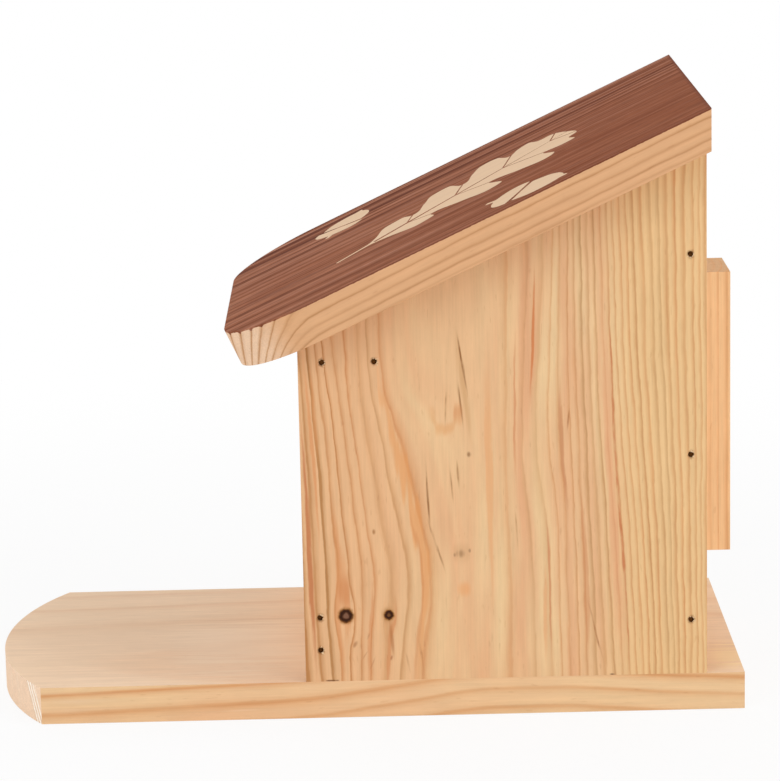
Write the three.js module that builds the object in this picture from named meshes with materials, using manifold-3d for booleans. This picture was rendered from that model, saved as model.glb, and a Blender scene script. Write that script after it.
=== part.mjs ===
// Squirrel feeder box in planed pine: a base board with a rounded nose as platform, a nut box with sloping
// sides and a clear front on its rear part, and a thick lid that swings up on two butt hinges.
// Millimetres, +Z up. +X is the right side, -Y the front. The origin is the middle of the base's underside.
import * as THREE from "three";
import { mergeVertices } from "three/addons/utils/BufferGeometryUtils.js";
import Module from "manifold-3d";

const wasm = await Module();
wasm.setup();

// Boards
const boardThickness = 18;
const baseLength = 360;
const baseWidth = 168;
const noseDepth = 24.5; // how far the rounded nose runs ahead of the straight sides
const sideDepth = 191; // front to back, along the base
const sideFrontHeight = 164; // above the base, at the front edge
const lidSlope = THREE.MathUtils.degToRad(25);
const lidLength = 249; // along the slope, on the upper face
const lidSideOverhang = 22;
const lidCornerRadius = 45;
const lidSeatGap = 0.3; // between the lid and the sloping tops that it rests on
const crossBoardWidth = 47; // the stock of both the lip and the rail
const battenWidth = 39;
const battenLength = 139;
const battenRise = 43; // above the base

// Clear front
const paneThickness = 3;
const paneClearance = 0.3; // all round the pane
const kerfDepth = 6;

// Nails through the sides
const nailRadius = 0.9;
const nailHeadRadius = 1.3;
const nailHeadThickness = 0.9;
const nailLength = 43;
const nailTipLength = 3;
const nailSink = 1.1; // how deep the head is punched below the face
const nailInset = 7.5; // from the side's front or rear edge
const rearNailShares = [0.105, 0.423, 0.8]; // of the side's rear height
const lipNailShares = [0.33, 0.67]; // of the cross board's width
const railNailShares = [0.24, 0.76];

// Countersunk wood screws under the base and through the back into the batten
const screwRadius = 1.75;
const screwHeadRadius = 3.5;
const screwHeadHeight = 2.2;
const screwLength = 45;
const battenScrewLength = 30;
const screwTipLength = 4;
const screwSink = 0.6;
const sideScrewShares = [0.18, 0.82]; // of the side's depth
const backScrewInset = 38; // from a side's inner face
const battenScrewRise = 16; // the lower one, above the batten's lower end
const battenScrewSpacing = 40;

// Bores for the owner's hanging screws
const hangBoreRadius = 2.5;
const hangBoreInset = 12; // the upper one, below the batten's upper end
const hangBoreSpacing = 40;

// Butt hinges
const hingeInset = 26; // from a side's inner face to the hinge's middle
const hingeLength = 30;
const leafWidth = 13; // from the pin's axis to the leaf's free edge
const leafThickness = 1.2;
const knuckleRadius = 2.4;
const pinRadius = 1.1;
const pinClearance = 0.12;
const knuckleGap = 0.35;
const leafScrewRadius = 1.3;
const leafScrewHeadRadius = 2.7;
const leafScrewHeadHeight = 1.6;
const leafScrewLength = 13;
const leafScrewTipLength = 2.5;
const leafScrewReach = 8.4; // from the pin's axis
const leafScrewSpacing = 18;

// Small values that several pieces share
const fitGap = 0.15; // between a fastener and its hole
const overrun = 2; // how far a cutter runs past a face
const recessWidthShare = 0.22; // of the head's radius
const recessLengthShare = 0.62;
const recessDepthShare = 0.75; // of the head's height
const nailSides = 10;
const screwSides = 16;
const boreSides = 24;
const knuckles = 5;
const noseSteps = 28;
const cornerSteps = 14;

// Places worked out from the sizes
const rise = Math.tan(lidSlope);
const innerWidth = baseWidth - 2 * boardThickness;
const sideMiddle = (baseWidth - boardThickness) / 2;
const rearEnd = baseLength / 2;
const backFace = rearEnd - boardThickness; // the rear of the sides and the back panel
const frontFace = backFace - sideDepth;
const baseTop = boardThickness;
const frontTop = baseTop + sideFrontHeight;
const rearTop = frontTop + sideDepth * rise;
const lidUnder = rearTop + lidSeatGap / Math.cos(lidSlope); // at the back face
const lidTop = lidUnder + boardThickness / Math.cos(lidSlope);
const railUnder = frontTop - boardThickness;
const kerfFront = frontFace + boardThickness;
const kerfWidth = paneThickness + 2 * paneClearance;
const battenFoot = baseTop + battenRise;
const battenHead = battenFoot + battenLength;
const pinY = backFace + knuckleRadius;
const pinZ = (rearTop + lidUnder) / 2;
const sideHeight = rearTop - baseTop; // at the rear edge

const pine = { color: 0xe5bc8f, roughness: 0.6, metalness: 0 };
const stainedPine = { color: 0x965c48, roughness: 0.5, metalness: 0 };
const clear = { color: 0xe8f0f0, roughness: 0.05, metalness: 0, transparent: true, opacity: 0.35 };
const brass = { color: 0xc9a24a, roughness: 0.35, metalness: 1 };
const steel = { color: 0x9a9a96, roughness: 0.45, metalness: 1 };

function solidOf(geometry) {
  const bare = geometry.index ? geometry.toNonIndexed() : geometry.clone();
  bare.deleteAttribute("normal");
  bare.deleteAttribute("uv");
  const merged = mergeVertices(bare);
  return new wasm.Manifold(
    new wasm.Mesh({
      numProp: 3,
      vertProperties: merged.attributes.position.array,
      triVerts: new Uint32Array(merged.index.array),
    }),
  );
}

function geometryOf(solid) {
  const mesh = solid.getMesh();
  const shared = new THREE.BufferGeometry();
  shared.setAttribute("position", new THREE.BufferAttribute(mesh.vertProperties, mesh.numProp));
  shared.setIndex(new THREE.BufferAttribute(mesh.triVerts, 1));
  const faceted = shared.toNonIndexed();
  faceted.computeVertexNormals();
  return faceted;
}

function cutAway(geometry, cutters) {
  return geometryOf(cutters.reduce((left, cutter) => left.subtract(solidOf(cutter)), solidOf(geometry)));
}

// A board given by two opposite corners.
function block(low, high) {
  const size = high.map((value, axis) => value - low[axis]);
  return new THREE.BoxGeometry(...size).translate(...low.map((value, axis) => value + size[axis] / 2));
}

// A shape drawn in X and Y, with its lower face at a height.
function flatBoard(shape, thickness, height, curveSegments) {
  const options = { depth: thickness, bevelEnabled: false, curveSegments };
  return new THREE.ExtrudeGeometry(shape, options).translate(0, 0, height);
}

// A profile drawn in Y and Z, run across from one X to another.
function acrossBoard(profile, fromX, toX, curveSegments) {
  const options = { depth: toX - fromX, bevelEnabled: false, curveSegments };
  const upright = new THREE.Matrix4().makeBasis(
    new THREE.Vector3(0, 1, 0),
    new THREE.Vector3(0, 0, 1),
    new THREE.Vector3(1, 0, 0),
  );
  return new THREE.ExtrudeGeometry(profile, options).applyMatrix4(upright).translate(fromX, 0, 0);
}

function polygon(points) {
  return new THREE.Shape(points.map(([across, up]) => new THREE.Vector2(across, up)));
}

// A turned piece whose profile lists radius and depth. Its top is at the place and its depth runs along the way.
function turned(profile, sides, place, way) {
  const points = profile.map(([radius, depth]) => new THREE.Vector2(radius, depth));
  const toWay = new THREE.Quaternion().setFromUnitVectors(new THREE.Vector3(0, 1, 0), way);
  return new THREE.LatheGeometry(points, sides).applyQuaternion(toWay).translate(place.x, place.y, place.z);
}

function bore(radius, sides, place, way, length) {
  const profile = [
    [0, 0],
    [radius, 0],
    [radius, length],
    [0, length],
  ];
  return turned(profile, sides, place, way);
}

// Nails, which are turned with the head at the top
function nailProfile(gap) {
  const shank = nailRadius + gap;
  const seat = nailHeadThickness + gap;
  return [
    [0, gap ? -nailSink - overrun : 0],
    [nailHeadRadius + gap, gap ? -nailSink - overrun : 0],
    [nailHeadRadius + gap, seat],
    [shank, seat],
    [shank, nailLength - nailTipLength + gap],
    [0, nailLength + 2 * gap],
  ];
}

function nailSpots() {
  const spots = [];
  rearNailShares.forEach((share, i) => {
    spots.push({ name: `rear_nail_${i + 1}`, y: backFace - nailInset, z: baseTop + share * sideHeight });
  });
  lipNailShares.forEach((share, i) => {
    spots.push({ name: `lip_nail_${i + 1}`, y: frontFace + nailInset, z: baseTop + share * crossBoardWidth });
  });
  railNailShares.forEach((share, i) => {
    const z = frontTop - boardThickness / 2;
    spots.push({ name: `rail_nail_${i + 1}`, y: frontFace + share * crossBoardWidth, z });
  });
  return spots;
}

const sides = [
  { word: "right", sign: 1 },
  { word: "left", sign: -1 },
];

const nails = sides.flatMap(({ word, sign }) =>
  nailSpots().map(({ name, y, z }) => ({
    name: `${name}_${word}`,
    place: new THREE.Vector3(sign * (baseWidth / 2 - nailSink), y, z),
    way: new THREE.Vector3(-sign, 0, 0),
  })),
);

const nailHoles = nails.map(({ place, way }) => turned(nailProfile(fitGap), nailSides, place, way));

// Countersunk screws: the same profile, grown by a gap, cuts their holes
function screwProfile(size, gap) {
  const top = gap ? -overrun : 0;
  return [
    [0, top],
    [size.headRadius + gap, top],
    [size.headRadius + gap, gap],
    [size.radius + gap, size.headHeight + gap],
    [size.radius + gap, size.length - size.tipLength + gap],
    [0, size.length + 2 * gap],
  ];
}

function screwHole({ size, place, way }) {
  return turned(screwProfile(size, fitGap), screwSides, place, way);
}

function screwBody({ size, place, way }) {
  const toWay = new THREE.Quaternion().setFromUnitVectors(new THREE.Vector3(0, 1, 0), way);
  const width = size.headRadius * recessWidthShare;
  const reach = size.headRadius * recessLengthShare;
  const depth = size.headHeight * recessDepthShare;
  const arms = [
    block([-reach, -overrun, -width / 2], [reach, depth, width / 2]),
    block([-width / 2, -overrun, -reach], [width / 2, depth, reach]),
  ];
  const blank = turned(screwProfile(size, 0), screwSides, new THREE.Vector3(), new THREE.Vector3(0, 1, 0));
  return cutAway(blank, arms).applyQuaternion(toWay).translate(place.x, place.y, place.z);
}

const woodScrew = {
  radius: screwRadius,
  headRadius: screwHeadRadius,
  headHeight: screwHeadHeight,
  length: screwLength,
  tipLength: screwTipLength,
};
const battenScrew = { ...woodScrew, length: battenScrewLength };
const leafScrew = {
  radius: leafScrewRadius,
  headRadius: leafScrewHeadRadius,
  headHeight: leafScrewHeadHeight,
  length: leafScrewLength,
  tipLength: leafScrewTipLength,
};

const upward = new THREE.Vector3(0, 0, 1);
const backward = new THREE.Vector3(0, 1, 0);
const forward = new THREE.Vector3(0, -1, 0);

const sideScrews = sides.flatMap(({ word, sign }) =>
  sideScrewShares.map((share, i) => ({
    name: `base_screw_${word}_${i + 1}`,
    size: woodScrew,
    place: new THREE.Vector3(sign * sideMiddle, frontFace + share * sideDepth, screwSink),
    way: upward,
  })),
);

const backScrews = sides.map(({ word, sign }) => ({
  name: `base_screw_back_${word}`,
  size: woodScrew,
  place: new THREE.Vector3(sign * (innerWidth / 2 - backScrewInset), backFace - boardThickness / 2, screwSink),
  way: upward,
}));

const battenScrews = [0, 1].map((i) => ({
  name: `batten_screw_${i + 1}`,
  size: battenScrew,
  place: new THREE.Vector3(
    0,
    backFace - boardThickness + screwSink,
    battenFoot + battenScrewRise + i * battenScrewSpacing,
  ),
  way: backward,
}));

// A leaf's two screws, above the pin on the lid and below it on the back
function leafScrews(hinge, part, side) {
  return [-1, 1].map((end) => ({
    name: `hinge_${hinge.word}_${part}_screw_${end < 0 ? 1 : 2}`,
    size: leafScrew,
    place: new THREE.Vector3(
      hinge.middle + (end * leafScrewSpacing) / 2,
      backFace + leafThickness,
      pinZ + side * leafScrewReach,
    ),
    way: forward,
  }));
}

const hinges = sides.map(({ word, sign }) => ({ word, middle: sign * (innerWidth / 2 - hingeInset) }));
const lidLeafScrews = hinges.flatMap((hinge) => leafScrews(hinge, "lid", 1));
const bodyLeafScrews = hinges.flatMap((hinge) => leafScrews(hinge, "body", -1));

// The hanging bores run level through the back panel and the batten.
const hangBores = [0, 1].map((i) =>
  bore(
    hangBoreRadius,
    boreSides,
    new THREE.Vector3(0, backFace - boardThickness - overrun, battenHead - hangBoreInset - i * hangBoreSpacing),
    backward,
    2 * (boardThickness + overrun),
  ),
);

// Base: square at the rear, one shallow arc from side to side at the nose
function baseBoard() {
  const half = baseWidth / 2;
  const noseRadius = (half * half + noseDepth * noseDepth) / (2 * noseDepth);
  const noseCentre = noseRadius - rearEnd;
  const spread = Math.asin(half / noseRadius);
  const outline = new THREE.Shape();
  outline.moveTo(half, noseDepth - rearEnd);
  outline.lineTo(half, rearEnd);
  outline.lineTo(-half, rearEnd);
  outline.lineTo(-half, noseDepth - rearEnd);
  outline.absarc(0, noseCentre, noseRadius, -Math.PI / 2 - spread, -Math.PI / 2 + spread, false);
  const board = flatBoard(outline, boardThickness, 0, noseSteps);
  return cutAway(board, [...sideScrews, ...backScrews].map(screwHole));
}

// Side: sloping top, one saw kerf from end to end on the inner face
function sidePanel(sign) {
  const outer = (sign * baseWidth) / 2;
  const inner = (sign * innerWidth) / 2;
  const profile = polygon([
    [frontFace, baseTop],
    [backFace, baseTop],
    [backFace, rearTop],
    [frontFace, frontTop],
  ]);
  const board = acrossBoard(profile, Math.min(inner, outer), Math.max(inner, outer));
  const kerfEnds = [inner - sign * overrun, inner + sign * kerfDepth];
  const kerf = block(
    [Math.min(...kerfEnds), kerfFront, baseTop - overrun],
    [Math.max(...kerfEnds), kerfFront + kerfWidth, rearTop],
  );
  return cutAway(board, [kerf, ...nailHoles, ...sideScrews.map(screwHole)]);
}

// Back: stands between the sides, its top planed to the slope
function backPanel() {
  const inside = backFace - boardThickness;
  const profile = polygon([
    [inside, baseTop],
    [backFace, baseTop],
    [backFace, rearTop],
    [inside, rearTop - boardThickness * rise],
  ]);
  const board = acrossBoard(profile, -innerWidth / 2, innerWidth / 2);
  const screws = [...backScrews, ...battenScrews, ...bodyLeafScrews].map(screwHole);
  return cutAway(board, [...nailHoles, ...screws, ...hangBores]);
}

function frontLip() {
  const board = block(
    [-innerWidth / 2, frontFace, baseTop],
    [innerWidth / 2, frontFace + boardThickness, baseTop + crossBoardWidth],
  );
  return cutAway(board, nailHoles);
}

function topRail() {
  const board = block(
    [-innerWidth / 2, frontFace, railUnder],
    [innerWidth / 2, frontFace + crossBoardWidth, frontTop],
  );
  return cutAway(board, nailHoles);
}

// The pane slides up the kerfs from below, before the base goes on.
function frontPane() {
  const half = innerWidth / 2 + kerfDepth - paneClearance;
  const front = kerfFront + paneClearance;
  return block([-half, front, baseTop], [half, front + paneThickness, railUnder - paneClearance]);
}

function mountingBatten() {
  const board = block([-battenWidth / 2, backFace, battenFoot], [battenWidth / 2, rearEnd, battenHead]);
  return cutAway(board, [...battenScrews.map(screwHole), ...hangBores]);
}

// Lid: one board laid on the slope, both front corners rounded, its rear end then cut plumb
function lidBoard() {
  const half = baseWidth / 2 + lidSideOverhang;
  const turn = half - lidCornerRadius;
  const cornerY = lidCornerRadius - lidLength;
  const plan = new THREE.Shape();
  plan.moveTo(half, overrun);
  plan.lineTo(-half, overrun);
  plan.lineTo(-half, cornerY);
  plan.absarc(-turn, cornerY, lidCornerRadius, Math.PI, 1.5 * Math.PI, false);
  plan.absarc(turn, cornerY, lidCornerRadius, 1.5 * Math.PI, 2 * Math.PI, false);
  const board = flatBoard(plan, boardThickness, -boardThickness, cornerSteps)
    .rotateX(lidSlope)
    .translate(0, backFace, lidTop);
  const plumbCut = block(
    [-half - overrun, backFace, lidUnder - boardThickness],
    [half + overrun, rearEnd, lidTop + boardThickness],
  );
  return cutAway(board, [plumbCut, ...lidLeafScrews.map(screwHole)]);
}

// One leaf of a butt hinge: a plate rolled into knuckles, every second of which belongs to the other leaf
function hingeLeaf(hinge, side, firstKnuckle, screws) {
  const plate = block(
    [-hingeLength / 2, backFace, Math.min(0, side * leafWidth) + pinZ],
    [hingeLength / 2, backFace + leafThickness, Math.max(0, side * leafWidth) + pinZ],
  );
  const start = new THREE.Vector3(-hingeLength / 2, pinY, pinZ);
  const alongX = new THREE.Vector3(1, 0, 0);
  const roll = bore(knuckleRadius, boreSides, start, alongX, hingeLength);
  const leaf = solidOf(plate).add(solidOf(roll));

  const step = hingeLength / knuckles;
  const clear = knuckleRadius + knuckleGap;
  const notches = [];
  for (let i = 1 - firstKnuckle; i < knuckles; i += 2) {
    const from = i * step - hingeLength / 2 - (i === 0 ? overrun : knuckleGap / 2);
    const to = (i + 1) * step - hingeLength / 2 + (i === knuckles - 1 ? overrun : knuckleGap / 2);
    notches.push(block([from, backFace - overrun, pinZ - clear], [to, pinY + clear, pinZ + clear]));
  }
  const eye = bore(
    pinRadius + pinClearance,
    boreSides,
    start.clone().setX(start.x - overrun),
    alongX,
    hingeLength + 2 * overrun,
  );
  const cutters = [...notches, eye].map((cutter) => cutter.translate(hinge.middle, 0, 0));
  const shaped = geometryOf(leaf).translate(hinge.middle, 0, 0);
  return cutAway(shaped, [...cutters, ...screws.map(screwHole)]);
}

function hingePin(hinge) {
  const start = new THREE.Vector3(hinge.middle - hingeLength / 2, pinY, pinZ);
  return bore(pinRadius, boreSides, start, new THREE.Vector3(1, 0, 0), hingeLength);
}

function piece(name, geometry, finish) {
  const mesh = new THREE.Mesh(geometry, new THREE.MeshStandardMaterial(finish));
  mesh.name = name;
  return mesh;
}

const feeder = new THREE.Group();
feeder.add(piece("base_board", baseBoard(), pine));
sides.forEach(({ word, sign }) => feeder.add(piece(`side_panel_${word}`, sidePanel(sign), pine)));
feeder.add(piece("back_panel", backPanel(), pine));
feeder.add(piece("front_lip", frontLip(), pine));
feeder.add(piece("top_rail", topRail(), pine));
feeder.add(piece("front_pane", frontPane(), clear));
feeder.add(piece("mounting_batten", mountingBatten(), pine));
nails.forEach(({ name, place, way }) => {
  feeder.add(piece(name, turned(nailProfile(0), nailSides, place, way), steel));
});
[...sideScrews, ...backScrews, ...battenScrews].forEach((screw) => {
  feeder.add(piece(screw.name, screwBody(screw), steel));
});

const lid = new THREE.Group();
lid.add(piece("lid_board", lidBoard(), stainedPine));
hinges.forEach((hinge) => {
  const lidScrews = leafScrews(hinge, "lid", 1);
  const bodyScrews = leafScrews(hinge, "body", -1);
  lid.add(piece(`hinge_${hinge.word}_lid_leaf`, hingeLeaf(hinge, 1, 1, lidScrews), brass));
  feeder.add(piece(`hinge_${hinge.word}_body_leaf`, hingeLeaf(hinge, -1, 0, bodyScrews), brass));
  feeder.add(piece(`hinge_${hinge.word}_pin`, hingePin(hinge), brass));
});
lidLeafScrews.forEach((screw) => lid.add(piece(screw.name, screwBody(screw), brass)));
bodyLeafScrews.forEach((screw) => feeder.add(piece(screw.name, screwBody(screw), brass)));
feeder.add(lid);

export default feeder;
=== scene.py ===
import math
import random
from functools import partial

import bmesh
import bpy
from mathutils import Euler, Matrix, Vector


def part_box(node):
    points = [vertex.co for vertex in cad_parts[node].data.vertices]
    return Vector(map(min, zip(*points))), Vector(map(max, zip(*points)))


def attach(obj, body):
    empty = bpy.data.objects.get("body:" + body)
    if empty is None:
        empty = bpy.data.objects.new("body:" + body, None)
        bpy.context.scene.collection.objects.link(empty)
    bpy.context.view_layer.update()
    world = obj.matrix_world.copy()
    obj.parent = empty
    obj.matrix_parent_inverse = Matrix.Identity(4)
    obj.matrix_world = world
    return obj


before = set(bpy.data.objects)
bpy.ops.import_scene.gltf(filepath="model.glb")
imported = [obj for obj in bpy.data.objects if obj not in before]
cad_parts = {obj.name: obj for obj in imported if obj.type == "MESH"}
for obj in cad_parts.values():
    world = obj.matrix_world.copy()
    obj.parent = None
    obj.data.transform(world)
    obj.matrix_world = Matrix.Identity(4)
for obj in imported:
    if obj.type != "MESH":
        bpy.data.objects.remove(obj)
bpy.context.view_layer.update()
mm = 0.001


def linear(hexColor):  # sRGB hex to the linear colour that shaders take
    parts = [int(hexColor[i : i + 2], 16) / 255 for i in (1, 3, 5)]
    return [p / 12.92 if p <= 0.04045 else ((p + 0.055) / 1.055) ** 2.4 for p in parts] + [1]


# What the word after a kind of node sets, as in "Math.ADD"
wordSetting = {
    "Math": "operation", "VectorMath": "operation", "Mix": "data_type", "MapRange": "interpolation_type",
    "TexNoise": "noise_dimensions", "TexWhiteNoise": "noise_dimensions",
}


def addNode(tree, kind, inputs=(), **settings):  # one node with its settings, fed in order or by name
    kind, _, word = kind.partition(".")
    node = tree.nodes.new(kind if "Node" in kind else "ShaderNode" + kind)
    if word:
        settings[wordSetting[kind]] = word
    for key, value in settings.items():
        setattr(node, key, value)
    if isinstance(inputs, dict):
        fed = [(node.inputs[key], value) for key, value in inputs.items()]
    else:
        fed = zip([socket for socket in node.inputs if socket.enabled], inputs)
    for socket, value in fed:
        if isinstance(value, bpy.types.Node):
            value = next(output for output in value.outputs if output.enabled)
        if isinstance(value, bpy.types.NodeSocket):
            tree.links.new(value, socket)
        else:
            socket.default_value = value
    return node


def setStops(node, stops):  # colour stops of a ramp: (place, hex colour or grey)
    ramp = node.color_ramp
    while len(ramp.elements) < len(stops):
        ramp.elements.new(0.5)
    for element, (place, value) in zip(ramp.elements, stops):
        element.position = place
        element.color = linear(value) if isinstance(value, str) else [value] * 3 + [1]


def setCurve(node, points):  # points of a float curve: (place, height)
    curve = node.mapping.curves[0]
    while len(curve.points) < len(points):
        curve.points.new(0.5, 0.5)
    for point, (place, height) in zip(curve.points, points):
        point.location = (place, height)
        point.handle_type = "AUTO_CLAMPED"
    node.mapping.update()


def newMaterial(name):
    material = bpy.data.materials.new(name)
    material.use_nodes = True
    material.node_tree.nodes.clear()
    return material, partial(addNode, material.node_tree)


# Camera: 12 degrees above the horizon, square on to the long side. Lengths in mm, turns in degrees
camera = {
    "place": (1612.96, 5.46, 491.63), "turn": (77.7248, 1.1981, 89.4244), "lens": 154.42, "sensor": 36,
    "nearest": 50, "farthest": 50000,
}

cameraData = bpy.data.cameras.new("camera")
cameraData.lens = camera["lens"]
cameraData.sensor_width = camera["sensor"]
cameraData.clip_start = camera["nearest"] * mm
cameraData.clip_end = camera["farthest"] * mm
cameraObject = bpy.data.objects.new("camera", cameraData)
cameraObject.location = Vector(camera["place"]) * mm
cameraObject.rotation_euler = Euler([math.radians(a) for a in camera["turn"]], "XYZ")
bpy.context.scene.collection.objects.link(cameraObject)
bpy.context.scene.camera = cameraObject
bpy.context.scene.view_settings.view_transform = "Standard"
print("camera ready")


# Studio: white sweep, five soft boxes and an even white surround. Lengths in metres
studio = {
    "floorColor": "#F4F4F4", "floorSize": 16.0, "floorDrop": 0.0002,
    "fadeFrom": 0.30, "fadeTo": 0.75, "fadeShare": 0.86,  # where the sweep goes over into white, and how far
    "surround": 0.64,
    "softBoxes": [
        # name, place, aimed at, size, power in watts
        ("keyBox", (2.2, -1.9, 1.5), (0, 0, 0.12), 1.8, 22),
        ("fillBox", (1.7, 2.3, 1.1), (0, 0, 0.12), 1.8, 21),
        ("noseBox", (0.4, -2.9, 1.0), (0, 0, 0.08), 1.6, 12),
        ("rearBox", (0.5, 2.7, 1.7), (0, 0.15, 0.1), 1.6, 16),
        ("backBox", (-2.4, -0.4, 1.8), (0, 0, 0.12), 1.8, 10),
    ],
}


def seenDirectly(add):  # 1 where the camera sees the backdrop, also in a mirror or through glass
    path = add("LightPath")
    seen = add("Math.MAXIMUM", [path.outputs["Is Camera Ray"], path.outputs["Is Glossy Ray"]])
    return add("Math.MAXIMUM", [seen, path.outputs["Is Transmission Ray"]])


def whiteSweep():  # matt white paper that fades into the white surround away from the object
    material, add = newMaterial("matt white sweep")
    paper = add("BsdfDiffuse", {"Color": linear(studio["floorColor"])})
    glow = add("Emission", {"Color": (1, 1, 1, 1), "Strength": 1.0})
    away = add("VectorMath.LENGTH", [add("TexCoord").outputs["Object"]])
    reach = (studio["fadeFrom"], studio["fadeTo"], studio["fadeShare"])
    fade = add("MapRange.SMOOTHSTEP", [away, *reach])
    share = add("Math.MULTIPLY", [fade, seenDirectly(add)])
    add("OutputMaterial", [add("MixShader", [share, paper, glow])])
    return material


def makeFloor():
    half, low = studio["floorSize"] / 2, -studio["floorDrop"]
    mesh = bpy.data.meshes.new("studioFloor")
    corners = [(-half, -half, low), (half, -half, low), (half, half, low), (-half, half, low)]
    mesh.from_pydata(corners, [], [(0, 1, 2, 3)])
    mesh.materials.append(whiteSweep())
    floor = bpy.data.objects.new("studioFloor", mesh)
    bpy.context.scene.collection.objects.link(floor)


def makeSurround():
    world = bpy.data.worlds.new("even white surround")
    bpy.context.scene.world = world
    world.use_nodes = True
    world.node_tree.nodes.clear()
    add = partial(addNode, world.node_tree)
    lit = add("Background", {"Color": (1, 1, 1, 1), "Strength": studio["surround"]})
    shown = add("Background", {"Color": (1, 1, 1, 1), "Strength": 1.0})
    add("OutputWorld", [add("MixShader", [seenDirectly(add), lit, shown])])


def makeSoftBoxes():
    for name, place, aim, size, power in studio["softBoxes"]:
        light = bpy.data.lights.new(name, "AREA")
        light.shape = "SQUARE"
        light.size = size
        light.energy = power
        lamp = bpy.data.objects.new(name, light)
        lamp.location = place
        lamp.rotation_euler = (Vector(aim) - Vector(place)).to_track_quat("-Z", "Y").to_euler()
        bpy.context.scene.collection.objects.link(lamp)


makeFloor()
makeSurround()
makeSoftBoxes()
print("studio ready")


def grainNoise(add, place, noise, shift=(0, 0, 0)):  # noise drawn out to its lengths
    lengths, detail, roughness = noise
    drawn = add("Mapping", {"Vector": place, "Scale": [1 / length for length in lengths], "Location": shift})
    return add("TexNoise", [drawn, 1.0, detail, roughness])


# Pine, sawn from the trunk and planed: every board is cut out of its own set of year rings,
# so that a line on one face runs on over the edge onto the next. Lengths in millimetres.
pine = {
    # noises: lengths across, along and through the board, detail, roughness
    "sway": ((55, 150, 55), 1.0, 0.4),
    "close": ((0.8, 26, 0.8), 3.0, 0.6),  # fibres, about three times coarser than real ones so that they show
    "broad": ((3.2, 70, 3.2), 2.0, 0.55),
    "mottle": ((5, 16, 5), 3.0, 0.6),
    "ducts": ((0.9, 6, 0.9), 0.0, 0.5),
    "tones": {"close": 0.09, "broad": 0.07, "mottle": 0.07},  # how far these lighten and darken the face
    "fading": (40, 70, 40),  # a year's line fades in and out over such lengths
    # scales of the plain noises
    "weatherPerMm": 0.055, "poresPerMm": 1.4, "sawMarksPerMm": 0.9, "barkPerMm": 0.7, "bruisePerMm": 0.9,
    # how far a knot bends the grain, in radii, and its share along the board
    "knotReach": 3.2, "knotFlow": 0.42,
    "runLength": 300, "widestStep": 60,  # along the board, and across it, for the bends of the trunk
    "bowReach": 200, "deepestBow": 50,  # either way along the board, and through it
    "bruise": (1.9, 3.1),  # from dark to clean wood round a nail
    "relief": 0.2,
    "duct": "#B98A5C", "bruised": "#7A4C1C", "sawMark": "#F8EBDA",
    "chipTones": [
        ("#FFF8EC", [(0, 0.0), (0.22, 0.9), (0.48, 0.85), (0.6, 0.0)]),
        ("#B48A64", [(0.6, 0.0), (0.74, 0.45), (0.9, 0.0)]),
    ],
    "bark": [(0.46, "#42210C"), (0.62, "#2C1206"), (0.78, "#6A3F1C"), (0.9, "#A87038")],
}

# What a board's cut says, with the usual values. A cut also has its axes (across, along and through the
# board), a seed, its pith (across and through) and the spacing of its rings, and may have a phase, a bow,
# thinness and contrast of the lines across the board, a painted-light tone for the wide faces and chips
# beside a corner.
commonCut = {
    "early": ("#EAC69C", "#E5BD92"), "late": ("#CC8F5D", "#BE8E60"),
    "slope": 0, "shift": (0, 0, 0),  # how the board lies in the part
    "lean": (0, 0),  # how far the pith moves across and through the board, as shares of the way along it
    "slowSide": (0, 0),  # from this place across, the tree grew more slowly by this share
    # rings get narrower from this radius at this rate; good and bad years
    "tighten": (200, 0), "weather": 14,
    # how far the lines wander and ripple, with the shares of both that go through the board
    "sway": 12, "depthSway": 0.5, "ripple": 1.6, "rippleLength": 26, "depthRipple": 1.0, "ragged": 0.58,
    "runs": [], "knots": [], "resinStreaks": [], "flecksAndPaintedLight": [], "sideTones": [],
    "line": [(0, 0.28), (0.08, 0.02), (0.52, 0.03), (0.76, 0.52), (0.88, 1.0), (0.95, 0.85), (1.0, 0.28)],
    # the weakest lines, and the dark rim of each line
    "faint": 0.22, "edgeShare": 0.4, "lateEdge": "#A8683A",
    "driftWidth": 38, "fibres": 1.0,
    "endTone": ("#D9B48F", 0.5), "endLines": 0.35, "sawMarks": 0.06,  # sawn ends
}


def boardSpace(add, cut):  # place in the board, how far a face is end grain, and how far it is a wide face
    place = add("TexCoord")
    placed = add("Mapping", {
        "Vector": place.outputs["Object"], "Scale": [1 / mm] * 3,
        "Rotation": (-cut["slope"], 0, 0), "Location": cut["shift"],
    })
    parts = add("SeparateXYZ", [placed])
    board = add("CombineXYZ", [parts.outputs[axis] for axis in cut["axes"]])
    facing = []
    for axis in cut["axes"][1:]:  # along the grain, then through the board
        way = Vector([1.0 if axis == letter else 0.0 for letter in "XYZ"])
        way.rotate(Euler((cut["slope"], 0, 0)))
        turned = add("VectorMath.DOT_PRODUCT", [place.outputs["Normal"], tuple(way)])
        facing.append(add("Math.ABSOLUTE", [turned]))
    endGrain = add("MapRange.SMOOTHSTEP", [facing[0], 0.25, 0.75])
    return board, endGrain, facing[1]


# the way from a spot, and its length with shares across and along
def fromSpot(add, place, across, along, shares):
    offset = add("VectorMath.SUBTRACT", [place, (across, along, 0)])
    flat = add("VectorMath.MULTIPLY", [offset, (*shares, 0)])
    return offset, add("VectorMath.LENGTH", [flat])


def bendRoundKnots(add, board, knots):  # the grain parts and flows round each knot
    for across, along, radius, _ in knots:
        reach = radius * pine["knotReach"]
        offset, away = fromSpot(add, board, across, along, (1 / reach, pine["knotFlow"] / reach))
        pull = add("MapRange.SMOOTHERSTEP", [away, 0.1, 1.0, 0.78, 0.0])
        moved = add("VectorMath.MULTIPLY", [offset, (1, 0, 0)])
        moved = add("VectorMath.SCALE", [moved, pull])
        board = add("VectorMath.SUBTRACT", [board, moved])
    return board


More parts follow.
